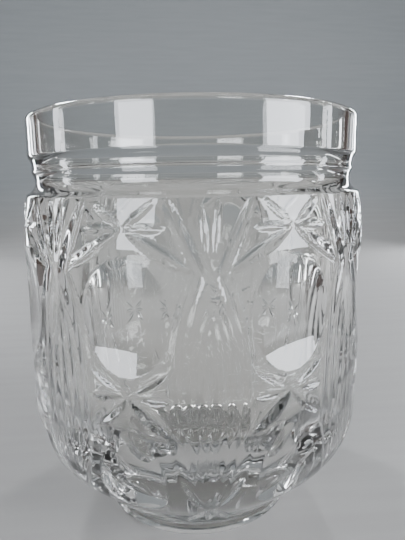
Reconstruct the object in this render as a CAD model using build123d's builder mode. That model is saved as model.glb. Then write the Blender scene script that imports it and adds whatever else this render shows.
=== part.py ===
from build123d import *
import os
from math import cos, radians, sin, sqrt, tan

# A heavy cut-glass whisky tumbler: one piece of clear crystal, cut all over its barrel with
# a pattern that repeats eight times. Millimetres, +Z up, origin at the centre of the foot.

# Driving dimensions of the blank, which is the glass before it is cut
glass_height = 98.0
body_radius = 42.1  # the straight middle of the barrel
rim_setback = 2.1  # how far the plain band under the lip stands inside the barrel
rim_wall = 2.7
lip_round = 1.2
lip_share = 0.45  # most of the wall's thickness that the lip's round may take
shoulder_foot = 66.0  # height where the barrel starts to draw in to the neck
shoulder_curve = 86.0
heel_top = 29.0  # height where the barrel starts to turn in to the foot
heel_curve = 20.5
heel_slope = 45.0  # lean of the cone between the heel's turn and the foot
foot_setback = 17.6  # how far the foot stands inside the barrel
base_thickness = 13.0
floor_radius = 9.0  # flat middle of the cavity's floor

# The two ring grooves of the neck, with a bead left standing between them
groove_wheel = 3.0
lower_groove_height = 83.4
lower_groove_depth = 1.35
groove_spacing = 3.3
upper_groove_depth = 0.85

# The recess under the foot and the star cut in it
foot_ring = 4.0  # width of the ring that the glass stands on
recess_depth = 0.8
recess_bevel = 0.6
foot_ray_inner = 1.5
foot_ray_margin = 2.0  # plain strip between the star's tips and the ring
foot_ray_depth = 0.9

# The cutting wheels: round ones leave channels, pointed ones leave sharp mitres
channel_wheel = 3.4  # for the broad shallow ribbons and flutes
arm_wheel = 2.0
mitre_half_angle = 53.0
wheel_reach = 4.0  # how far a wheel stands out of the glass
overrun = 1.15  # travel of a wheel's middle to a tip and past it, as a share of the former

# The pattern repeats eight times. Angles run from the middle of a lens panel, at zero, to
# the star between two panels, and every cut is mirrored about both. A place on the wall is
# an angle in degrees and a height.
repeats = 8
star_angle = 360 / repeats / 2

# The lens panel's outer channels: an arm falls from the neck to the pinch, where it nearly
# meets its mirror image, and bends into a ribbon that bows out and back in to the heel
arm_tip = (10.9, 80.0)
arm_middle = (6.9, 73.0)
arm_middle_depth = 0.5
arm_foot_depth = 0.55  # depth of the arm where it ends in the pinch
arm_lead = 0.2  # start of the arm beyond its tip, as a share of tip to middle
pinch = (3.05, 66.0)
pinch_depth = 0.42  # depth of the ribbon where it starts in the pinch
ribbon_depth = 0.38
ribbon_side = (9.7, 47.0)
ribbon_knee = (8.3, 30.0)
ribbon_foot = (0.4, 16.5)

# The long flutes inside the ribbons, from the outer one to the middle
flute_depth = 0.31
flute_tip_depth = -0.08  # below zero, the wheel is still clear of the glass
flute_tops = ((0.5, 62.5), (0.1, 60.0))
flute_sides = ((5.8, 46.0), (1.95, 46.0))
flute_knees = ((5.0, 30.0), (1.65, 30.0))
flute_feet = ((0.3, 17.0), (0.1, 17.0))

# The fan of two leaves between the arms
fan_top = (2.4, 79.8)
fan_foot = (0.8, 69.0)
fan_depth = 0.5

# The stars over and under each window: heights of their centres, then for each ray its
# tip's degrees beside the centre, its height over the centre, and its depth
upper_star = 74.5
upper_rays = ((9.0, 5.1, 0.55), (11.5, 0.0, 0.6), (18.6, -8.2, 0.9))
lower_star = 42.4
lower_rays = ((12.0, 5.5, 0.7), (12.5, -0.5, 0.85), (11.5, -7.5, 1.25))

# The round-faced hollows between panels: an oval window, and an arch on the heel
window_height = 57.5
window_half_width = 8.9
window_half_height = 11.5
window_depth = 2.0
arch_height = 26.0
arch_half_width = 6.9
arch_half_height = 10.5
arch_depth = 2.0

# The leaves that spread over the heel under each lens panel, each from tip to tip
heel_leaves = (((0.0, 16.0), (9.0, 6.0)), ((0.0, 15.5), (0.0, 6.0)))
heel_leaf_depth = 0.8

# The radii that follow from the barrel's
rim_radius = body_radius - rim_setback
mouth_radius = rim_radius - rim_wall
foot_radius = body_radius - foot_setback
recess_radius = foot_radius - foot_ring
foot_ray_outer = recess_radius - foot_ray_margin

# Where the heel's turn ends in the cone, and where the cone meets the foot
heel_lean = radians(heel_slope)
turn_foot = heel_top - heel_curve * sin(heel_lean)
turn_foot_radius = body_radius - heel_curve * (1 - cos(heel_lean))
foot_height = turn_foot - (turn_foot_radius - foot_radius) / tan(heel_lean)


def wall_point(angle, height, lift=0.0):
    """Point over the uncut wall, lifted along the wall's normal."""
    if height >= shoulder_foot:
        rise = (height - shoulder_foot) / shoulder_curve
        out = body_radius - shoulder_curve + (shoulder_curve + lift) * sqrt(1 - rise**2)
        up = height + lift * rise
    elif height >= heel_top:
        out = body_radius + lift
        up = height
    elif height >= turn_foot:
        rise = (height - heel_top) / heel_curve
        out = body_radius - heel_curve + (heel_curve + lift) * sqrt(1 - rise**2)
        up = height + lift * rise
    else:
        out = turn_foot_radius - (turn_foot - height) * tan(heel_lean) + lift * cos(heel_lean)
        up = height - lift * sin(heel_lean)
    return Vector(out * cos(radians(angle)), out * sin(radians(angle)), up)


def wall_radius(height):
    """Radius of the uncut wall at a height."""
    return wall_point(0, height).X


def wall_normal(angle, height):
    """Direction straight out of the uncut wall."""
    return wall_point(angle, height, 1) - wall_point(angle, height)


def pointed_face():
    """Section of a pointed wheel, its edge at the origin and the wheel along +X."""
    spread = wheel_reach * tan(radians(mitre_half_angle))
    with BuildSketch(Plane.XY) as face:
        with BuildLine():
            Polyline((0, 0), (wheel_reach, spread), (wheel_reach, -spread), close=True)
        make_face()
    return face.sketch


def round_face(radius):
    """Section of a round-faced wheel, its lowest point at the origin."""
    with BuildSketch(Plane.XY) as face:
        with Locations((radius, 0)):
            Circle(radius)
        Rectangle(2 * wheel_reach, 2 * radius, mode=Mode.INTERSECT)
    return face.sketch


def wheel_print(bed, outward, face):
    """Print of an upright wheel whose edge travels through the three points of a bed."""
    along = (bed[2] - bed[0]).normalized()
    side = along.cross(outward).normalized()
    start, middle, end = (point - side * side.dot(point - bed[1]) for point in bed)
    travel = ThreePointArc(start, middle, end)
    hub = travel.arc_center
    out = (start - hub).normalized()
    if out.dot(outward) < 0:
        out = -out
    turn_axis = Axis(hub, (start - hub).cross(end - hub))
    with BuildPart() as cutter:
        with BuildSketch(Plane(origin=start, x_dir=out, z_dir=travel % 0)):
            add(face)
        revolve(axis=turn_axis, revolution_arc=(start - hub).get_angle(end - hub))
    return cutter.part


def stroke(tip, other_tip, depth):
    """Bed of a cut that is deepest at its middle and leaves the glass at its tips."""
    bed = []
    for share in (-overrun, 0.0, overrun):
        angle = tip[0] + (other_tip[0] - tip[0]) * (1 + share) / 2
        height = tip[1] + (other_tip[1] - tip[1]) * (1 + share) / 2
        bed.append(wall_point(angle, height, -depth * (1 - share**2)))
    return bed


def mitre(tip, other_tip, depth):
    """Sharp leaf-shaped cut in the wall between two tips."""
    outward = wall_normal((tip[0] + other_tip[0]) / 2, (tip[1] + other_tip[1]) / 2)
    return wheel_print(stroke(tip, other_tip, depth), outward, pointed_face())


def hollow(height, half_width, half_height, depth):
    """Oval hollow under a star, ground with a round-faced wheel."""
    bulge = wall_radius(height) - sqrt(wall_radius(height) ** 2 - half_width**2)
    face_sag = depth - bulge
    face_radius = (half_width**2 + face_sag**2) / (2 * face_sag)
    bed = stroke((star_angle, height - half_height), (star_angle, height + half_height), depth)
    return wheel_print(bed, wall_normal(star_angle, height), round_face(face_radius))


def wheel_centre(wheel, place, depth):
    """Middle of a round wheel's section where it cuts the wall to a depth."""
    return wall_point(*place, wheel - depth)


def channel(wheel, *arcs):
    """Round channel whose middle line is a chain of tangent arcs."""
    with BuildPart() as cutter:
        for arc in arcs:
            start, end = arc @ 0 - arc.arc_center, arc @ 1 - arc.arc_center
            with BuildSketch(Plane(origin=arc @ 0, z_dir=arc % 0)):
                Circle(wheel)
            revolve(axis=Axis(arc.arc_center, start.cross(end)), revolution_arc=start.get_angle(end))
    return cutter.part


def bowed_channel(top, top_depth, side, knee, foot, depth):
    """Channel that bows sideways down the barrel, then turns in round the heel."""
    down_barrel = ThreePointArc(
        wheel_centre(channel_wheel, top, top_depth),
        wheel_centre(channel_wheel, side, depth),
        wheel_centre(channel_wheel, knee, depth),
    )
    lift_off = wheel_centre(channel_wheel, foot, 0)
    round_heel = TangentArc(down_barrel @ 1, lift_off, tangent=down_barrel % 1)
    return channel(channel_wheel, down_barrel, round_heel)


def arm():
    """Straight channel from the neck to the pinch, with the round end that it turns on."""
    start = (
        arm_tip[0] + arm_lead * (arm_tip[0] - arm_middle[0]),
        arm_tip[1] + arm_lead * (arm_tip[1] - arm_middle[1]),
    )
    path = ThreePointArc(
        wheel_centre(arm_wheel, start, -arm_lead * arm_middle_depth),
        wheel_centre(arm_wheel, arm_middle, arm_middle_depth),
        wheel_centre(arm_wheel, pinch, arm_foot_depth),
    )
    with BuildPart() as cutter:
        add(channel(arm_wheel, path))
        with Locations(path @ 1):
            Sphere(arm_wheel)
    return cutter.part


def foot_ray():
    """Sharp ray in the recess under the foot, midway between two planes of the pattern."""
    along = Vector(cos(radians(star_angle / 2)), sin(radians(star_angle / 2)), 0)
    middle = (foot_ray_outer + foot_ray_inner) / 2
    reach = (foot_ray_outer - foot_ray_inner) / 2
    bed = [
        along * (middle + reach * share) + Vector(0, 0, recess_depth + foot_ray_depth * (1 - share**2))
        for share in (-overrun, 0.0, overrun)
    ]
    return wheel_print(bed, Vector(0, 0, -1), pointed_face())


# Every cut of half a repeat
cuts = [arm(), bowed_channel(pinch, pinch_depth, ribbon_side, ribbon_knee, ribbon_foot, ribbon_depth)]
for top, side, knee, foot in zip(flute_tops, flute_sides, flute_knees, flute_feet):
    cuts.append(bowed_channel(top, flute_tip_depth, side, knee, foot, flute_depth))
cuts.append(mitre(fan_top, fan_foot, fan_depth))
for centre, rays in ((upper_star, upper_rays), (lower_star, lower_rays)):
    for beside, above, depth in rays:
        cuts.append(mitre((star_angle, centre), (star_angle - beside, centre + above), depth))
cuts.append(hollow(window_height, window_half_width, window_half_height, window_depth))
cuts.append(hollow(arch_height, arch_half_width, arch_half_height, arch_depth))
for tip, other_tip in heel_leaves:
    cuts.append(mitre(tip, other_tip, heel_leaf_depth))
cuts.append(foot_ray())

# Half a repeat of the tumbler: its section turned through that angle, then cut
floor_curve = mouth_radius - floor_radius
bore_foot = base_thickness + floor_curve
turn_middle = heel_top - heel_curve * sin(heel_lean / 2)
shoulder_middle = (shoulder_foot + lower_groove_height) / 2
neck_radius = wall_radius(lower_groove_height)
groove_reach = rim_radius + groove_wheel

with BuildPart() as half_panel:
    with BuildSketch(Plane.XZ) as section:
        with BuildLine():
            Polyline(
                (0, recess_depth),
                (recess_radius - recess_bevel, recess_depth),
                (recess_radius, 0),
                (foot_radius, 0),
                (foot_radius, foot_height),
                (turn_foot_radius, turn_foot),
            )
            ThreePointArc(
                (turn_foot_radius, turn_foot),
                (wall_radius(turn_middle), turn_middle),
                (body_radius, heel_top),
            )
            Line((body_radius, heel_top), (body_radius, shoulder_foot))
            ThreePointArc(
                (body_radius, shoulder_foot),
                (wall_radius(shoulder_middle), shoulder_middle),
                (neck_radius, lower_groove_height),
            )
            Polyline(
                (neck_radius, lower_groove_height),
                (rim_radius, lower_groove_height),
                (rim_radius, glass_height),
                (mouth_radius, glass_height),
                (mouth_radius, bore_foot),
            )
            CenterArc((floor_radius, bore_foot), floor_curve, 270, 90)
            Polyline((floor_radius, base_thickness), (0, base_thickness), (0, recess_depth))
        make_face()
        lip = section.vertices().group_by(Axis.Y)[-1]
        fillet(lip, min(lip_round, lip_share * (rim_radius - mouth_radius)))
        with Locations(
            (groove_reach - lower_groove_depth, lower_groove_height),
            (groove_reach - upper_groove_depth, lower_groove_height + groove_spacing),
        ):
            Circle(groove_wheel, mode=Mode.SUBTRACT)
    revolve(axis=Axis.Z, revolution_arc=star_angle)
    for cut in cuts:
        add(cut, mode=Mode.SUBTRACT)

with BuildPart() as panel:
    add(half_panel.part)
    mirror(about=Plane.XZ)

with BuildPart() as tumbler:
    with PolarLocations(0, repeats):
        add(panel.part)
tumbler.part.label = "tumbler"

os.makedirs("parts", exist_ok=True)
export_step(tumbler.part, "parts/tumbler.step")
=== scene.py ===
"""Studio scene of a cut-crystal whisky tumbler, in metres, in the frame of its CAD model."""

import logging
from dataclasses import dataclass
from enum import Enum
from math import cos, pi, radians, sin

import bpy
import numpy as np
from mathutils import Matrix, Vector

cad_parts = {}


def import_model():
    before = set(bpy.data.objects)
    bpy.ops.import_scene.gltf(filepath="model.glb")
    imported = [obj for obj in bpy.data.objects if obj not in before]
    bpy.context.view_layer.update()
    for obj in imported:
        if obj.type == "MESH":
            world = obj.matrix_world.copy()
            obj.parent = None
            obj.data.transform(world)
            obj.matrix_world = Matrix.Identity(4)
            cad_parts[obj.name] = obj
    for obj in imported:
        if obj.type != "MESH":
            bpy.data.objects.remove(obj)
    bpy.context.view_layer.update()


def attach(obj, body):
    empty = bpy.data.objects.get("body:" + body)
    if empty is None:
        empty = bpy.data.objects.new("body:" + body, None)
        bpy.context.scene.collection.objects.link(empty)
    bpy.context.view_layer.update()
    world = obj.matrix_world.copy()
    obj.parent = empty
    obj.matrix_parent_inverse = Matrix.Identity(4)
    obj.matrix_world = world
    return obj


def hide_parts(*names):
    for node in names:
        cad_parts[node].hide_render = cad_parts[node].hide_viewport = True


LOG = logging.getLogger("tumbler")
MILLIMETRE = 0.001
Colour = tuple[float, float, float, float]
Point = tuple[float, float, float]


class Tone(Enum):
    """Named colours, as sRGB hex."""

    CRYSTAL = "F9FBFA"
    CRYSTAL_WARM = "F7F4EF"
    PLASTER = "A8ACAD"
    PLASTER_DEEP = "9A9E9F"
    PALE_FLOOR = "A6A5A2"
    PALE_FLOOR_DEEP = "9A9895"
    DARK_WOOD = "1C120D"
    DARK_WOOD_WARM = "5A463C"
    DAYLIGHT = "F3F7FF"


def linear(tone: Tone) -> Colour:
    """Turns a named sRGB colour into linear light.

    Args:
        tone: The named colour.

    Returns:
        Linear red, green, blue and an alpha of one.
    """
    channels = [int(tone.value[i : i + 2], 16) / 255 for i in (0, 2, 4)]
    light = [c / 12.92 if c <= 0.04045 else ((c + 0.055) / 1.055) ** 2.4 for c in channels]
    return (light[0], light[1], light[2], 1.0)


def add_node(tree: bpy.types.NodeTree, kind: str, settings: dict | None = None,
             inputs: dict | None = None) -> bpy.types.Node:
    """Adds a shader node with its settings, socket values and links.

    Args:
        tree: Node tree that gets the node.
        kind: Blender's type name of the node.
        settings: Attribute names and values of the node itself.
        inputs: Input socket names or numbers, each with a value or an output socket.

    Returns:
        The new node.
    """
    node = tree.nodes.new(kind)
    for name, value in (settings or {}).items():
        setattr(node, name, value)
    for name, value in (inputs or {}).items():
        if isinstance(value, bpy.types.NodeSocket):
            tree.links.new(value, node.inputs[name])
        else:
            node.inputs[name].default_value = value
    return node


def empty_material(name: str) -> tuple[bpy.types.Material, bpy.types.NodeTree]:
    """Makes a material whose node tree is empty.

    Args:
        name: Name of the material.

    Returns:
        The material and its node tree.
    """
    material = bpy.data.materials.new(name)
    material.use_nodes = True
    material.node_tree.nodes.clear()
    return material, material.node_tree


@dataclass(frozen=True)
class LeadCrystal:
    """Polished lead crystal: clear and brilliant, with soft-edged ridges between the cuts."""

    refraction: float = 1.545
    roughness: float = 0.004
    polish_wave: float = 14 * MILLIMETRE  # the slow waver that acid polishing leaves
    wave_height: float = 0.006 * MILLIMETRE

    def build(self) -> bpy.types.Material:
        """Makes the material.

        Returns:
            The finished material.
        """
        material, tree = empty_material("lead_crystal")
        place = add_node(tree, "ShaderNodeTexCoord")
        # the faintest uneven warmth, as thick glass has
        cloud = add_node(tree, "ShaderNodeTexNoise", inputs={
            "Vector": place.outputs["Object"], "Scale": 40.0, "Detail": 2.0})
        tint = add_node(tree, "ShaderNodeMix", {"data_type": "RGBA"}, {
            0: cloud.outputs[0], 6: linear(Tone.CRYSTAL), 7: linear(Tone.CRYSTAL_WARM)})
        # slow waves of the polish, which keep long reflections from being ruler-straight
        waver = add_node(tree, "ShaderNodeTexNoise", inputs={
            "Vector": place.outputs["Object"], "Scale": 1 / self.polish_wave, "Detail": 1.0})
        surface = add_node(tree, "ShaderNodeBump", inputs={
            "Strength": 1.0, "Distance": self.wave_height,
            "Height": waver.outputs[0]})
        shader = add_node(tree, "ShaderNodeBsdfPrincipled", inputs={
            "Base Color": tint.outputs[2], "Roughness": self.roughness, "IOR": self.refraction,
            "Transmission Weight": 1.0, "Normal": surface.outputs[0]})
        add_node(tree, "ShaderNodeOutputMaterial", inputs={"Surface": shader.outputs[0]})
        return material


@dataclass(frozen=True)
class Matt:
    """Matt surface of two close tones with a fine tooth, for the floor, the wall and dark cards."""

    name: str
    tone: Tone
    deep_tone: Tone
    patch: float = 0.12
    roughness: float = 0.85

    def build(self) -> bpy.types.Material:
        """Makes the material.

        Returns:
            The finished material.
        """
        material, tree = empty_material(self.name)
        place = add_node(tree, "ShaderNodeTexCoord")
        patches = add_node(tree, "ShaderNodeTexNoise", inputs={
            "Vector": place.outputs["Object"], "Scale": 1 / self.patch, "Detail": 3.0})
        tint = add_node(tree, "ShaderNodeMix", {"data_type": "RGBA"}, {
            0: patches.outputs[0], 6: linear(self.tone), 7: linear(self.deep_tone)})
        shader = add_node(tree, "ShaderNodeBsdfPrincipled", inputs={
            "Base Color": tint.outputs[2], "Roughness": self.roughness})
        add_node(tree, "ShaderNodeOutputMaterial", inputs={"Surface": shader.outputs[0]})
        return material


@dataclass(frozen=True)
class Plaster:
    """Painted plaster with a faint level brush grain, pale underfoot and greyer up the wall."""

    rise: float = 0.10  # height over which the floor's tone turns into the wall's
    grain: float = 0.006
    stretch: float = 12.0  # length of the brush grain against its height
    roughness: float = 0.8

    def build(self) -> bpy.types.Material:
        """Makes the material.

        Returns:
            The finished material.
        """
        material, tree = empty_material("painted_plaster")
        place = add_node(tree, "ShaderNodeTexCoord")
        drawn = add_node(tree, "ShaderNodeMapping", inputs={
            "Vector": place.outputs["Object"], "Scale": (1 / self.stretch, 1.0, 1.0)})
        # brush grain that runs level, as on a painted wall
        brush = add_node(tree, "ShaderNodeTexNoise", inputs={
            "Vector": drawn.outputs[0], "Scale": 1 / self.grain, "Detail": 4.0})
        height = add_node(tree, "ShaderNodeSeparateXYZ", inputs={0: place.outputs["Object"]})
        up_wall = add_node(tree, "ShaderNodeMapRange", {"interpolation_type": "SMOOTHSTEP"}, {
            0: height.outputs[2], 1: 0.0, 2: self.rise})
        floor = add_node(tree, "ShaderNodeMix", {"data_type": "RGBA"}, {
            0: brush.outputs[0], 6: linear(Tone.PALE_FLOOR), 7: linear(Tone.PALE_FLOOR_DEEP)})
        wall = add_node(tree, "ShaderNodeMix", {"data_type": "RGBA"}, {
            0: brush.outputs[0], 6: linear(Tone.PLASTER), 7: linear(Tone.PLASTER_DEEP)})
        tint = add_node(tree, "ShaderNodeMix", {"data_type": "RGBA"}, {
            0: up_wall.outputs[0], 6: floor.outputs[2], 7: wall.outputs[2]})
        shader = add_node(tree, "ShaderNodeBsdfPrincipled", inputs={
            "Base Color": tint.outputs[2], "Roughness": self.roughness})
        add_node(tree, "ShaderNodeOutputMaterial", inputs={"Surface": shader.outputs[0]})
        return material


@dataclass(frozen=True)
class Blank:
    """The glass before it is cut, in millimetres, as a section that is turned about Z."""

    glass_height: float = 98.0
    body_radius: float = 42.1
    rim_setback: float = 2.1
    rim_wall: float = 2.7
    lip_round: float = 1.2
    shoulder_foot: float = 66.0
    shoulder_curve: float = 86.0
    heel_top: float = 29.0
    heel_curve: float = 20.5
    foot_setback: float = 17.6
    base_thickness: float = 13.0
    floor_radius: float = 9.0
    foot_ring: float = 4.0
    recess_depth: float = 0.8
    recess_bevel: float = 0.6
    edge_round: float = 0.2
    band_foot: float = 90.0  # height on the plain band where the cut wall ends

    @property
    def rim_radius(self) -> float:
        """Outside of the plain band."""
        return self.body_radius - self.rim_setback

    @property
    def mouth_radius(self) -> float:
        """Straight bore of the cavity."""
        return self.rim_radius - self.rim_wall

    @property
    def foot_radius(self) -> float:
        """Outside of the foot."""
        return self.body_radius - self.foot_setback

    @property
    def turn_foot(self) -> tuple[float, float]:
        """Radius and height where the heel's turn ends in its 45 degree cone."""
        fall = self.heel_curve * sin(pi / 4)
        return self.body_radius - self.heel_curve + fall, self.heel_top - fall

    @property
    def foot_height(self) -> float:
        """Height where the cone meets the foot."""
        radius, height = self.turn_foot
        return height - (radius - self.foot_radius)

    def wall(self, height: np.ndarray) -> tuple[np.ndarray, np.ndarray, np.ndarray]:
        """Works out the uncut wall at some heights.

        Args:
            height: Heights in millimetres.

        Returns:
            Radii, and the outward and upward parts of the direction that cuts are measured in.
        """
        turn_radius, turn_height = self.turn_foot
        rise = np.clip((height - self.shoulder_foot) / self.shoulder_curve, 0, 1)
        upper = self.body_radius - self.shoulder_curve * (1 - np.sqrt(1 - rise**2))
        fall = np.clip((height - self.heel_top) / self.heel_curve, -sin(pi / 4), 0)
        lower = self.body_radius - self.heel_curve * (1 - np.sqrt(1 - fall**2))
        lower = lower - np.clip(turn_height - height, 0, None)
        radius = np.where(height >= self.heel_top, np.maximum(upper, self.rim_radius), lower)
        return radius, np.sqrt(1 - fall**2), fall

    def wall_heights(self, step: float) -> np.ndarray:
        """Spaces heights evenly along the wall's own line, from the foot to the plain band.

        Args:
            step: Distance between them along the line.

        Returns:
            The heights, from the lowest.
        """
        height = np.linspace(self.foot_height, self.band_foot, 4001)
        radius = self.wall(height)[0]
        run = np.concatenate([[0], np.cumsum(np.hypot(np.diff(height), np.diff(radius)))])
        return np.interp(np.linspace(0, run[-1], int(run[-1] / step) + 1), run, height)


def place_on_wall(blank: Blank, angle: float, height: float, lift: float) -> np.ndarray:
    """Finds a point over the uncut wall.

    Args:
        blank: The glass before it is cut.
        angle: Degrees from the middle of a lens panel.
        height: Height of the wall under the point.
        lift: Distance out of the wall.

    Returns:
        The point, in millimetres.
    """
    radius, out, up = (float(v) for v in blank.wall(np.array(height)))
    reach = radius + lift * out
    return np.array([reach * cos(radians(angle)), reach * sin(radians(angle)), height + lift * up])


def hub_of(start: np.ndarray, middle: np.ndarray, end: np.ndarray) -> np.ndarray:
    """Finds the hub of the circular arc through three points.

    Args:
        start: First point.
        middle: Point between them.
        end: Last point.

    Returns:
        The hub.
    """
    one, two = middle - start, end - start
    return start + np.linalg.solve(np.array([one, two, np.cross(one, two)]),
                                   np.array([one @ one / 2, two @ two / 2, 0.0]))


def arc_through(start: np.ndarray, middle: np.ndarray, end: np.ndarray, step: float
                ) -> tuple[np.ndarray, np.ndarray]:
    """Divides the circular arc through three points.

    Args:
        start: First point.
        middle: Point between them.
        end: Last point.
        step: Distance between the divisions.

    Returns:
        The points along the arc, and the direction in which it ends.
    """
    hub = hub_of(start, middle, end)
    first, last = start - hub, end - hub
    radius = np.linalg.norm(first)
    axis = np.cross(middle - start, end - start)
    axis /= np.linalg.norm(axis)
    turn = float(np.arctan2(axis @ np.cross(first, last), first @ last)) % (2 * pi)
    share = np.linspace(0, turn, max(int(radius * turn / step), 2))[:, None]
    side = np.cross(axis, first)
    points = hub + first * np.cos(share) + side * np.sin(share)
    return points, side * cos(turn) - first * sin(turn)


def arc_from(start: np.ndarray, heading: np.ndarray, end: np.ndarray, step: float) -> np.ndarray:
    """Divides the circular arc that leaves a point in a given direction.

    Args:
        start: First point.
        heading: Direction in which the arc leaves it.
        end: Last point.
        step: Distance between the divisions.

    Returns:
        The points along the arc.
    """
    heading = heading / np.linalg.norm(heading)
    chord = end - start
    inward = chord - heading * (chord @ heading)
    inward /= np.linalg.norm(inward)
    radius = chord @ chord / (2 * (chord @ inward))
    turn = 2 * float(np.arctan2(chord @ inward, chord @ heading))
    share = np.linspace(0, turn, max(int(radius * turn / step), 2))[:, None]
    return start + radius * (heading * np.sin(share) + inward * (1 - np.cos(share)))


@dataclass(frozen=True)
class Sampling:
    """Points of the wall at which the cuts are measured."""

    points: np.ndarray
    out: np.ndarray
    height: np.ndarray


@dataclass(frozen=True)
class RoundCut:
    """Channel left by a round-faced wheel whose middle follows a line."""

    line: np.ndarray
    wheel: float
    flat_start: bool = False  # whether it starts square, not with the wheel's own round end

    def depth(self, wall: Sampling) -> np.ndarray:
        """Measures how deep the channel lies under the wall.

        Args:
            wall: Where it is measured.

        Returns:
            Depths, below zero where the wheel misses the glass.
        """
        deepest = np.full(wall.height.shape, -1.0)
        for middle in self.line:
            offset = wall.points - middle
            near = (offset**2).sum(-1) < (2 * self.wheel) ** 2
            if not near.any():
                continue
            away = (offset[near] * wall.out[near]).sum(-1)
            inside = self.wheel**2 - (offset[near] ** 2).sum(-1) + away**2
            reach = np.where(inside > 0, away + np.sqrt(np.clip(inside, 0, None)), -1.0)
            deepest[near] = np.maximum(deepest[near], reach)
        if self.flat_start:
            heading = self.line[1] - self.line[0]
            behind = ((wall.points - self.line[0]) @ heading < 0) & (
                ((wall.points - self.line[0]) ** 2).sum(-1) < (2 * self.wheel) ** 2)
            deepest[behind] = -1.0
        return deepest


@dataclass(frozen=True)
class WheelPrint:
    """Print of an upright wheel: its pointed face leaves a leaf, its round face a hollow."""

    bed: tuple[np.ndarray, np.ndarray, np.ndarray]  # points that the wheel's edge runs through
    outward: np.ndarray
    face: float = 0.0  # radius of a round face, or zero for a pointed one
    half_angle: float = 53.0
    valley_round: float = 0.1
    rounds: int = 6  # of closing in on the wheel's surface

    def sink(self, aside: np.ndarray) -> np.ndarray:
        """Works out how far the wheel's face falls back from its edge.

        Args:
            aside: Distances from the wheel's middle plane.

        Returns:
            The falls.
        """
        if self.face:
            return self.face - np.sqrt(np.clip(self.face**2 - aside**2, 0, None))
        return (np.hypot(aside, self.valley_round) - self.valley_round) / np.tan(
            radians(self.half_angle))

    def depth(self, wall: Sampling) -> np.ndarray:
        """Measures how deep the print lies under the wall.

        Args:
            wall: Where it is measured.

        Returns:
            Depths, below zero where the wheel misses the glass.
        """
        along = self.bed[2] - self.bed[0]
        side = np.cross(along / np.linalg.norm(along), self.outward)
        side /= np.linalg.norm(side)
        start, middle, end = (point - side * ((point - self.bed[1]) @ side) for point in self.bed)
        hub = hub_of(start, middle, end)
        radius = np.linalg.norm(start - hub)
        way = np.sign((hub - middle) @ self.outward)  # below zero where the bed bends with the wall
        offset = wall.points - hub
        near = ((way * (offset @ self.outward) < 0)
                & (((wall.points - middle) ** 2).sum(-1) < (along @ along)))
        out, offset = wall.out[near], offset[near]
        sunk = np.zeros(near.sum())
        for _ in range(self.rounds):
            place = offset - sunk[:, None] * out
            aside = place @ side
            sunk += way * (radius - np.sqrt((place**2).sum(-1) - aside**2)) - self.sink(aside)
        found = np.full(wall.height.shape, -1.0)
        found[near] = np.maximum(sunk, -1.0)
        return found


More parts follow.
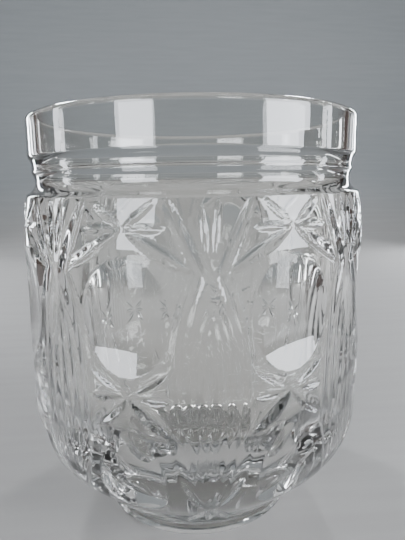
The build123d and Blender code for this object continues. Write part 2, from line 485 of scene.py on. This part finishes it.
@dataclass(frozen=True)
class Pattern:
    """The cut pattern of half a repeat. Angles are degrees from the middle of a lens panel."""

    repeats: int = 8
    wheel: float = 3.4
    arm_wheel: float = 2.0
    overrun: float = 1.15  # travel of a wheel past a tip, as a share of half the cut
    step: float = 0.3
    arm_tip: tuple[float, float] = (10.9, 80.0)
    arm_middle: tuple[float, float] = (6.9, 73.0)
    arm_lead: float = 0.2
    arm_depth: float = 0.5
    arm_foot_depth: float = 0.55
    pinch: tuple[float, float] = (3.05, 66.0)
    pinch_depth: float = 0.42
    ribbon: tuple = ((9.7, 47.0), (8.3, 30.0), (0.4, 16.5))
    ribbon_depth: float = 0.38
    flute_tip_depth: float = -0.08
    flutes: tuple = (((0.5, 62.5), (5.8, 46.0), (5.0, 30.0), (0.3, 17.0)),
                     ((0.1, 60.0), (1.95, 46.0), (1.65, 30.0), (0.1, 17.0)))
    flute_depth: float = 0.31
    fan: tuple = ((2.4, 79.8), (0.8, 69.0), 0.5)
    stars: tuple = ((74.5, ((9.0, 5.1, 0.55), (11.5, 0.0, 0.6), (18.6, -8.2, 0.9))),
                    (42.4, ((12.0, 5.5, 0.7), (12.5, -0.5, 0.85), (11.5, -7.5, 1.25))))
    window: tuple = (57.5, 8.9, 11.5, 2.0)
    arch: tuple = (26.0, 6.9, 10.5, 2.0)
    heel_leaves: tuple = (((0.0, 16.0), (9.0, 6.0)), ((0.0, 15.5), (0.0, 6.0)))
    heel_leaf_depth: float = 0.8
    groove_wheel: float = 3.0
    grooves: tuple = ((83.4, 1.35), (86.7, 0.85))

    @property
    def star_angle(self) -> float:
        """Degrees from the middle of a lens panel to the stars beside it."""
        return 180 / self.repeats

    def bowed(self, blank: Blank, top: tuple, top_depth: float, rest: tuple, depth: float
              ) -> np.ndarray:
        """Lays out a channel that bows down the barrel and turns in round the heel.

        Args:
            blank: The glass before it is cut.
            top: Its upper end.
            top_depth: Its depth there.
            rest: Its side, knee and foot.
            depth: Its depth at its side and knee.

        Returns:
            Points along the middle of the wheel's section.
        """
        side, knee, foot = rest
        down, heading = arc_through(
            place_on_wall(blank, *top, self.wheel - top_depth),
            place_on_wall(blank, *side, self.wheel - depth),
            place_on_wall(blank, *knee, self.wheel - depth), self.step)
        return np.vstack([down, arc_from(
            down[-1], heading, place_on_wall(blank, *foot, self.wheel), self.step)])

    def arm(self, blank: Blank) -> RoundCut:
        """Lays out the channel from the neck to the pinch.

        Args:
            blank: The glass before it is cut.

        Returns:
            The channel.
        """
        start = tuple(tip + self.arm_lead * (tip - middle)
                      for tip, middle in zip(self.arm_tip, self.arm_middle))
        line, _ = arc_through(
            place_on_wall(blank, *start, self.arm_wheel + self.arm_lead * self.arm_depth),
            place_on_wall(blank, *self.arm_middle, self.arm_wheel - self.arm_depth),
            place_on_wall(blank, *self.pinch, self.arm_wheel - self.arm_foot_depth), self.step)
        return RoundCut(line, self.arm_wheel)

    def print_between(self, blank: Blank, tip: tuple, other_tip: tuple, depth: float,
                      face: float = 0.0) -> WheelPrint:
        """Lays out a print that is deepest at its middle and leaves the glass at its tips.

        Args:
            blank: The glass before it is cut.
            tip: Angle and height of one tip.
            other_tip: Angle and height of the other.
            depth: Its greatest depth.
            face: Radius of the wheel's round face, or zero for a pointed one.

        Returns:
            The print.
        """
        start, end = np.array(tip), np.array(other_tip)
        bed = tuple(place_on_wall(blank, *(start + (end - start) * (1 + share) / 2),
                                  -depth * (1 - share**2))
                    for share in (-self.overrun, 0.0, self.overrun))
        middle = (start + end) / 2
        outward = place_on_wall(blank, *middle, 1.0) - place_on_wall(blank, *middle, 0.0)
        return WheelPrint(bed, outward, face)

    def hollow(self, blank: Blank, middle: float, half_width: float, half_height: float,
               depth: float) -> WheelPrint:
        """Lays out an oval hollow under a star.

        Args:
            blank: The glass before it is cut.
            middle: Height of its middle.
            half_width: Half its width.
            half_height: Half its height.
            depth: Its greatest depth.

        Returns:
            The hollow.
        """
        radius = place_on_wall(blank, 0.0, middle, 0.0)[0]
        sag = depth - radius + float(np.sqrt(radius**2 - half_width**2))
        face = (half_width**2 + sag**2) / (2 * sag)
        return self.print_between(blank, (self.star_angle, middle - half_height),
                                  (self.star_angle, middle + half_height), depth, face)

    def cuts(self, blank: Blank) -> list:
        """Lays out every cut of half a repeat.

        Args:
            blank: The glass before it is cut.

        Returns:
            The cuts.
        """
        found: list = [self.arm(blank)]
        channels = [(self.pinch, self.pinch_depth, self.ribbon, self.ribbon_depth)]
        channels += [(top, self.flute_tip_depth, tuple(rest), self.flute_depth)
                     for top, *rest in self.flutes]
        found += [RoundCut(self.bowed(blank, *channel), self.wheel, True) for channel in channels]
        found.append(self.print_between(blank, *self.fan))
        for centre, rays in self.stars:
            for beside, above, depth in rays:
                found.append(self.print_between(blank, (self.star_angle, centre),
                                       (self.star_angle - beside, centre + above), depth))
        found += [self.print_between(blank, *tips, self.heel_leaf_depth) for tips in self.heel_leaves]
        found += [self.hollow(blank, *oval) for oval in (self.window, self.arch)]
        return found

    def depth(self, blank: Blank, angle: np.ndarray, height: np.ndarray) -> np.ndarray:
        """Measures the whole pattern's depth under the wall.

        Args:
            blank: The glass before it is cut.
            angle: Degrees, from zero to the star.
            height: Heights.

        Returns:
            Depths, one row for each height.
        """
        radius, out, up = blank.wall(height)
        deepest = np.zeros((len(height), len(angle)))
        cuts = self.cuts(blank)
        for turned in (angle, -angle, 2 * self.star_angle - angle):
            turn = np.radians(turned)[None, :]
            level = np.broadcast_to(height[:, None], deepest.shape)
            points = np.stack([radius[:, None] * np.cos(turn), radius[:, None] * np.sin(turn),
                               level], -1)
            ways = np.stack([out[:, None] * np.cos(turn), out[:, None] * np.sin(turn),
                             np.broadcast_to(up[:, None], deepest.shape)], -1)
            for cut in cuts:
                deepest = np.maximum(deepest, cut.depth(Sampling(points, ways, level)))
        for middle, groove_depth in self.grooves:
            inside = self.groove_wheel**2 - (height - middle) ** 2
            edge = blank.rim_radius + self.groove_wheel - groove_depth
            reach = np.where(inside > 0, radius - edge + np.sqrt(np.clip(inside, 0, None)), 0)
            deepest = np.maximum(deepest, reach[:, None])
        return deepest


def polish(depth: np.ndarray, spacing: tuple[float, float], soften: float) -> np.ndarray:
    """Rounds every ridge and valley, as acid polishing does.

    Args:
        depth: Depths over half a repeat, mirrored at both of its sides.
        spacing: Distance between rows, and between columns.
        soften: Reach of the rounding.

    Returns:
        The rounded depths.
    """
    for axis, step in enumerate(spacing):
        reach = int(3 * soften / step) + 1
        weight = np.exp(-0.5 * (np.arange(-reach, reach + 1) * step / soften) ** 2)
        weight /= weight.sum()
        pad = [(reach, reach) if axis == side else (0, 0) for side in (0, 1)]
        wide = np.pad(depth, pad, mode="reflect" if axis else "edge")
        depth = sum(w * np.take(wide, range(i, i + depth.shape[axis]), axis)
                    for i, w in enumerate(weight))
    return depth


class Tumbler:
    """The one piece of crystal, cut finely and polished, in the place of its CAD form."""

    node = "tumbler"
    columns = 32  # around half a repeat
    refine = 4  # finer steps at which the cuts are measured, for each column
    fine_step = 0.12
    row_step = 5
    groove_row_step = 4
    soften = 0.16
    thin = 4  # fewer columns over the plain band and the cavity
    foot_ray = (1.5, 18.5, 0.9)

    def __init__(self, blank: Blank, pattern: Pattern, crystal: LeadCrystal) -> None:
        self.blank = blank
        self.pattern = pattern
        self.crystal = crystal
        self.around = self.columns * 2 * pattern.repeats
        self.points: list[np.ndarray] = []
        self.normals: list[np.ndarray] = []
        self.faces: list[tuple[int, ...]] = []
        self.count = 0

    def cut_wall(self) -> tuple[np.ndarray, np.ndarray]:
        """Cuts and polishes the wall over half a repeat.

        Returns:
            Points and normals, by row and column.
        """
        height = self.blank.wall_heights(self.fine_step)
        angle = np.linspace(0, self.pattern.star_angle, self.columns * self.refine + 1)
        across = radians(angle[1]) * self.blank.body_radius
        depth = self.pattern.depth(self.blank, angle, height)
        depth = polish(depth, (self.fine_step, across), self.soften)
        radius, out, up = self.blank.wall(height)
        reach = radius[:, None] - depth * out[:, None]
        level = height[:, None] - depth * up[:, None]
        turn = np.radians(angle)[None, :]
        points = np.stack([reach * np.cos(turn), reach * np.sin(turn), level], -1)
        normals = np.cross(np.gradient(points, axis=1), np.gradient(points, axis=0))
        normals[:, 0, 1] = 0  # both sides of half a repeat are mirror planes
        last = np.array([-sin(turn[0, -1]), cos(turn[0, -1]), 0.0])
        normals[:, -1] -= (normals[:, -1] @ last)[:, None] * last
        normals /= np.linalg.norm(normals, axis=-1, keepdims=True)
        in_grooves = height > self.pattern.grooves[0][0] - self.pattern.groove_wheel
        rows = [i for i in range(len(height))
                if i % (self.groove_row_step if in_grooves[i] else self.row_step) == 0]
        rows[-1] = len(height) - 1
        return points[rows][:, ::self.refine], normals[rows][:, ::self.refine]

    def spread(self, half: np.ndarray) -> np.ndarray:
        """Repeats half a repeat's vectors all the way round.

        Args:
            half: Vectors by row and column.

        Returns:
            The vectors of every row, all round.
        """
        mirrored = half[:, 1:-1][:, ::-1] * np.array([1, -1, 1])
        turn = 2 * radians(self.pattern.star_angle)
        back = np.array([[cos(turn), sin(turn), 0], [-sin(turn), cos(turn), 0], [0, 0, 1]])
        one = np.concatenate([half, mirrored @ back], axis=1)
        turns = [turn * i for i in range(self.pattern.repeats)]
        spins = [np.array([[cos(t), sin(t), 0], [-sin(t), cos(t), 0], [0, 0, 1]]) for t in turns]
        return np.concatenate([one @ spin for spin in spins], axis=1)

    def add_ring(self, points: np.ndarray, normals: np.ndarray) -> tuple[int, int]:
        """Adds a ring of points, or a single one on the axis.

        Args:
            points: Their places.
            normals: Their normals.

        Returns:
            Number of the first, and how many there are.
        """
        first = self.count
        self.points.append(points)
        self.normals.append(normals)
        self.count += len(points)
        return first, len(points)

    def join(self, low: tuple[int, int], high: tuple[int, int]) -> None:
        """Fills the band between two rings.

        Args:
            low: The earlier ring.
            high: The later ring, of as many points, fewer, or one.
        """
        (a, many), (b, few) = low, high
        if few == 1:
            self.faces += [(a + i, a + (i + 1) % many, b) for i in range(many)]
            return
        if many == 1:
            self.faces += [(a, b + (i + 1) % few, b + i) for i in range(few)]
            return
        each = many // few
        for i in range(few):
            edge = [a + (i * each + j) % many for j in range(each + 1)]
            self.faces.append((*edge, b + (i + 1) % few, b + i))

    def turned(self, section: list[tuple[float, float]], around: int) -> list[tuple[int, int]]:
        """Turns a stretch of section about Z into rings.

        Args:
            section: Radii and heights, with the glass on the left of the line's way.
            around: Points in a ring.

        Returns:
            The rings.
        """
        line = np.array(section)
        way = np.gradient(line, axis=0)
        side = np.stack([way[:, 1], -way[:, 0]], -1)
        side /= np.linalg.norm(side, axis=-1, keepdims=True)
        turn = np.linspace(0, 2 * pi, around, endpoint=False)
        flat = np.stack([np.cos(turn), np.sin(turn)], -1)
        rings = []
        for (radius, height), (out, up) in zip(line, side):
            if radius < 1e-6:
                rings.append(self.add_ring(np.array([[0.0, 0.0, height]]),
                                           np.array([[0.0, 0.0, np.sign(up)]])))
                continue
            points = np.column_stack([flat * radius, np.full(around, height)])
            normals = np.column_stack([flat * out, np.full(around, up)])
            rings.append(self.add_ring(points, normals))
        return rings

    def underside(self) -> tuple[np.ndarray, np.ndarray]:
        """Lays out the foot's ring and the star in its recess, from the axis outwards.

        Returns:
            Points and normals, by row and column.
        """
        blank = self.blank
        inner, outer, deepest = self.foot_ray
        recess = blank.foot_radius - blank.foot_ring
        radius = np.array([*np.linspace(0.6, recess - blank.recess_bevel - blank.edge_round, 11),
                           recess - blank.recess_bevel, recess, recess + blank.edge_round,
                           blank.foot_radius - blank.edge_round])
        base = np.interp(radius, [recess - blank.recess_bevel, recess], [blank.recess_depth, 0])
        angle = np.linspace(0, self.pattern.star_angle, self.columns + 1)
        half = (outer - inner) / 2
        turn = np.radians(angle)[None, :]
        off_ray = np.radians(angle - self.pattern.star_angle / 2)[None, :]
        share = (radius[:, None] * np.cos(off_ray) - (outer + inner) / 2) / half
        aside = np.abs(radius[:, None] * np.sin(off_ray))
        rise = deepest * (1 - share**2) - aside / np.tan(radians(WheelPrint.half_angle))
        level = base[:, None] + np.clip(rise, 0, None)
        points = np.stack([radius[:, None] * np.cos(turn), radius[:, None] * np.sin(turn),
                           level], -1)
        rows_up, columns_up = np.gradient(points, axis=0), np.gradient(points, axis=1)
        normals = np.cross(rows_up, columns_up) * -1
        normals /= np.linalg.norm(normals, axis=-1, keepdims=True)
        return points, normals

    def lip_and_cavity(self) -> list[tuple[float, float]]:
        """Lays out the section from the plain band over the lip to the cavity's floor.

        Returns:
            Radii and heights.
        """
        blank = self.blank
        top, soft = blank.glass_height, blank.lip_round
        corner = np.linspace(0, pi / 2, 8)
        section = [(blank.rim_radius, z) for z in np.linspace(blank.band_foot + 1, top - soft - 1, 4)]
        section += [(blank.rim_radius - soft + soft * cos(t), top - soft + soft * sin(t))
                    for t in corner]
        section += [(blank.mouth_radius + soft - soft * sin(t), top - soft + soft * cos(t))
                    for t in corner]
        curve = blank.mouth_radius - blank.floor_radius
        bore_foot = blank.base_thickness + curve
        section += [(blank.mouth_radius, z) for z in np.linspace(top - soft - 1, bore_foot, 16)]
        section += [(blank.floor_radius + curve * cos(t), bore_foot - curve * sin(t))
                    for t in np.linspace(0, pi / 2, 30)[1:]]
        section += [(r, blank.base_thickness) for r in (6.0, 3.0, 0.0)]
        return section

    def build(self) -> bpy.types.Object:
        """Builds the glass.

        Returns:
            The tumbler.
        """
        under_points, under_normals = (self.spread(v) for v in self.underside())
        rings = [self.add_ring(np.array([[0.0, 0.0, self.blank.recess_depth]]),
                               np.array([[0.0, 0.0, -1.0]]))]
        rings += [self.add_ring(p, n) for p, n in zip(under_points, under_normals)]
        foot = [(self.blank.foot_radius, z) for z in
                (self.blank.edge_round, self.blank.foot_height - self.blank.edge_round)]
        rings += self.turned(foot, self.around)
        wall_points, wall_normals = (self.spread(v) for v in self.cut_wall())
        rings += [self.add_ring(p, n) for p, n in zip(wall_points, wall_normals)]
        rings += self.turned(self.lip_and_cavity(), self.around // self.thin)
        for low, high in zip(rings, rings[1:]):
            self.join(low, high)
        mesh = bpy.data.meshes.new("cut_crystal")
        mesh.from_pydata((np.vstack(self.points) * MILLIMETRE).tolist(), [], self.faces)
        mesh.polygons.foreach_set("use_smooth", [True] * len(self.faces))
        mesh.normals_split_custom_set_from_vertices(np.vstack(self.normals).tolist())
        mesh.materials.append(self.crystal.build())
        glass = bpy.data.objects.new("cut_crystal_tumbler", mesh)
        bpy.context.collection.objects.link(glass)
        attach(glass, "root")
        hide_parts(self.node)
        mesh.calc_loop_triangles()
        LOG.info("tumbler: %d triangles", len(mesh.loop_triangles))
        return glass


@dataclass(frozen=True)
class Card:
    """An upright rectangle beside the glass, facing it."""

    name: str
    bearing: float  # degrees from straight behind the glass, to the right
    distance: float
    middle: float  # height of its middle
    width: float
    height: float
    glow: float = 0.0  # radiance, where it is a light
    tone: Tone = Tone.DAYLIGHT

    def matrix(self) -> Matrix:
        """Works out where the rectangle stands.

        Returns:
            Matrix that faces the rectangle's local -Z at the glass.
        """
        turn = radians(self.bearing)
        place = Vector((self.distance * sin(turn), self.distance * cos(turn), self.middle))
        look = Vector((0.0, 0.0, 0.05)) - place
        return Matrix.Translation(place) @ look.to_track_quat("-Z", "Y").to_matrix().to_4x4()


class Studio:
    """Pale floor, plain wall, plain soft lights and dark flags beside the glass."""

    sweep_half_width = 1.6
    wall_distance = 0.75
    wall_height = 1.4
    sweep_curve = 0.3
    front_reach = 1.2
    floor_gap = 0.1 * MILLIMETRE  # keeps the foot's face clear of the floor's
    room_light = 0.30

    panels = (
        Card("softbox_right", 122, 0.62, 0.20, 0.36, 0.34, 20.0),
        Card("softbox_left", -141, 0.62, 0.18, 0.26, 0.26, 17.0),
        Card("strip_back_left", -40, 0.55, 0.14, 0.03, 0.26, 40.0),
        Card("strip_left", -84, 0.46, 0.12, 0.04, 0.22, 14.0),
        Card("strip_back_right", 42, 0.55, 0.14, 0.03, 0.26, 40.0),
        Card("strip_right", 88, 0.50, 0.12, 0.04, 0.22, 14.0),
        Card("key_left", -34, 0.42, 0.40, 0.06, 0.06, 110.0),
        Card("key_right", 30, 0.50, 0.44, 0.06, 0.06, 110.0),
    )
    posts = (
        Card("flag_left", -60, 0.44, 0.12, 0.14, 0.24),
        Card("flag_right", 64, 0.44, 0.12, 0.14, 0.24),
        Card("flag_near_left", -104, 0.30, 0.06, 0.08, 0.12),
        Card("flag_near_right", 106, 0.30, 0.06, 0.08, 0.12),
    )
    crossings = 48  # how often light may cross the crystal's faces before it is lost
    turnings = 6  # how often it may be turned back within them

    def build(self) -> None:
        """Builds the floor, the lights and the flags."""
        self.build_sweep()
        for card in self.panels:
            self.build_panel(card)
        wood = Matt("dark_wood", Tone.DARK_WOOD, Tone.DARK_WOOD_WARM, 0.05).build()
        for card in self.posts:
            self.build_card(card, wood)
        # cut crystal turns light back many times; cut short, those paths would leave black specks
        paths = bpy.context.scene.cycles
        paths.max_bounces = self.crossings
        paths.transmission_bounces = self.crossings
        paths.glossy_bounces = self.turnings
        world = bpy.data.worlds.new("room")
        world.use_nodes = True
        ground = world.node_tree.nodes["Background"]
        ground.inputs["Color"].default_value = linear(Tone.PLASTER)
        ground.inputs["Strength"].default_value = self.room_light
        bpy.context.scene.world = world

    def build_sweep(self) -> None:
        """Builds the floor, which turns up into the wall in one smooth curve."""
        steps = 24
        low = -self.floor_gap
        line = [(-self.front_reach, low), (self.wall_distance - self.sweep_curve, low)]
        for step in range(1, steps + 1):
            turn = pi / 2 * step / steps
            line.append((self.wall_distance - self.sweep_curve + self.sweep_curve * sin(turn),
                         low + self.sweep_curve * (1 - cos(turn))))
        line.append((self.wall_distance, self.wall_height))
        points = [(side * self.sweep_half_width, y, z) for y, z in line for side in (-1, 1)]
        faces = [(2 * i, 2 * i + 1, 2 * i + 3, 2 * i + 2) for i in range(len(line) - 1)]
        mesh = bpy.data.meshes.new("floor")
        mesh.from_pydata(points, [], faces)
        mesh.polygons.foreach_set("use_smooth", [True] * len(faces))
        mesh.materials.append(Plaster().build())
        floor = bpy.data.objects.new("floor", mesh)
        bpy.context.collection.objects.link(floor)
        LOG.info("floor and wall")

    def build_panel(self, card: Card) -> None:
        """Adds a soft rectangular light.

        Args:
            card: Its place, size and glow.
        """
        light = bpy.data.lights.new(card.name, "AREA")
        light.shape = "RECTANGLE"
        light.size = card.width
        light.size_y = card.height
        light.energy = card.glow * pi * card.width * card.height
        light.color = linear(card.tone)[:3]
        lamp = bpy.data.objects.new(card.name, light)
        lamp.matrix_world = card.matrix()
        bpy.context.collection.objects.link(lamp)
        LOG.info("light %s", card.name)

    def build_card(self, card: Card, material: bpy.types.Material) -> bpy.types.Object:
        """Adds a dark flag that the camera doesn't see.

        Args:
            card: Its place and size.
            material: Its surface.

        Returns:
            The card.
        """
        across, up = card.width / 2, card.height / 2
        mesh = bpy.data.meshes.new(card.name)
        mesh.from_pydata([(-across, -up, 0), (across, -up, 0), (across, up, 0), (-across, up, 0)],
                         [], [(0, 1, 2, 3)])
        mesh.materials.append(material)
        panel = bpy.data.objects.new(card.name, mesh)
        panel.matrix_world = card.matrix()
        panel.visible_camera = False
        panel.visible_shadow = False
        bpy.context.collection.objects.link(panel)
        LOG.info("card %s", card.name)
        return panel


@dataclass(frozen=True)
class Viewpoint:
    """The camera: close to the glass, a little above it and looking slightly down."""

    distance: float = 0.12627
    height: float = 0.0821
    around: float = -4.0  # degrees from the front, about Z
    down: float = 10.05
    aside: float = -0.965
    roll: float = 0.90
    lens: float = 32.0

    def build(self) -> bpy.types.Object:
        """Adds the camera and makes it the scene's own.

        Returns:
            The camera.
        """
        aside, down, roll = radians(self.aside), radians(self.down), radians(self.roll)
        right = Vector((cos(aside), sin(aside), 0))
        level = Vector((-sin(aside), cos(aside), 0))
        forward = level * cos(down) - Vector((0, 0, sin(down)))
        up = level * sin(down) + Vector((0, 0, cos(down)))
        rolled_right = right * cos(roll) - up * sin(roll)
        rolled_up = right * sin(roll) + up * cos(roll)
        pose = Matrix((rolled_right, rolled_up, -forward)).transposed().to_4x4()
        pose.translation = (0, -self.distance, self.height)
        lens = bpy.data.cameras.new("camera")
        lens.lens = self.lens
        lens.clip_start = MILLIMETRE
        camera = bpy.data.objects.new("camera", lens)
        camera.matrix_world = Matrix.Rotation(radians(self.around), 4, "Z") @ pose
        bpy.context.collection.objects.link(camera)
        bpy.context.scene.camera = camera
        LOG.info("camera")
        return camera


def main() -> None:
    """Builds the scene."""
    logging.basicConfig(level=logging.INFO, format="%(message)s")
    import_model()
    Viewpoint().build()
    Tumbler(Blank(), Pattern(), LeadCrystal()).build()
    Studio().build()


if __name__ == "__main__":
    main()
